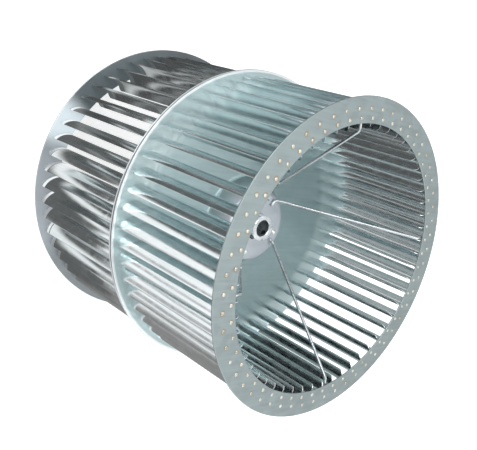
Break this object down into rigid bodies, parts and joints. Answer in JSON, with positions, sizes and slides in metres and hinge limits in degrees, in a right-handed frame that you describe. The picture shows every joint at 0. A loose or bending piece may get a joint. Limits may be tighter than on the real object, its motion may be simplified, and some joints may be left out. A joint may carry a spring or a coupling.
{
  "type": "centrifugal blower wheel",
  "caption": "Double-inlet centrifugal blower wheel of galvanised sheet: curved blades staked between end rings and dished centre discs, on a bored hub braced by tie rods.",
  "frame": {"origin": "on the wheel's axis, in the plane on which the back end ring's staked heads stand", "axes": "+Z along the wheel's axis from the back end ring to the front one, whose inlet shows the set screws; +X is the zero of the blades' and rods' directions"},
  "size_m": [0.458, 0.458, 0.4296],
  "materials": {
    "ring_sheet": "galvanised sheet, satin grey-green",
    "disc_sheet": "galvanised sheet, satin with faint streaks",
    "blade_sheet": "galvanised sheet, bright with streaks along the blade",
    "rod_wire": "bright zinc-plated wire",
    "hub_steel": "turned, zinc-plated",
    "rivet_steel": "zinc-plated",
    "screw_steel": "blackened"
  },
  "bodies": {
    "root": {"front_ring": "ring_sheet", "back_ring": "ring_sheet", "front_disc": "disc_sheet", "back_disc": "disc_sheet", "hub": "hub_steel", "set_screws": "screw_steel", "front_rivets": "rivet_steel", "back_rivets": "rivet_steel", "front_tie_rod_1": "rod_wire", "front_tie_rod_2": "rod_wire", "front_tie_rod_3": "rod_wire", "front_tie_rod_4": "rod_wire", "back_tie_rod_1": "rod_wire", "back_tie_rod_2": "rod_wire", "back_tie_rod_3": "rod_wire", "back_tie_rod_4": "rod_wire", "front_blades_1": "blade_sheet", "front_blades_2": "blade_sheet", "front_blades_3": "blade_sheet", "front_blades_4": "blade_sheet", "front_blades_5": "blade_sheet", "front_blades_6": "blade_sheet", "front_blades_7": "blade_sheet", "front_blades_8": "blade_sheet", "front_blades_9": "blade_sheet", "front_blades_10": "blade_sheet", "front_blades_11": "blade_sheet", "back_blades_1": "blade_sheet", "back_blades_2": "blade_sheet", "back_blades_3": "blade_sheet", "back_blades_4": "blade_sheet", "back_blades_5": "blade_sheet", "back_blades_6": "blade_sheet", "back_blades_7": "blade_sheet", "back_blades_8": "blade_sheet", "back_blades_9": "blade_sheet", "back_blades_10": "blade_sheet", "back_blades_11": "blade_sheet"}
  },
  "joints": []
}
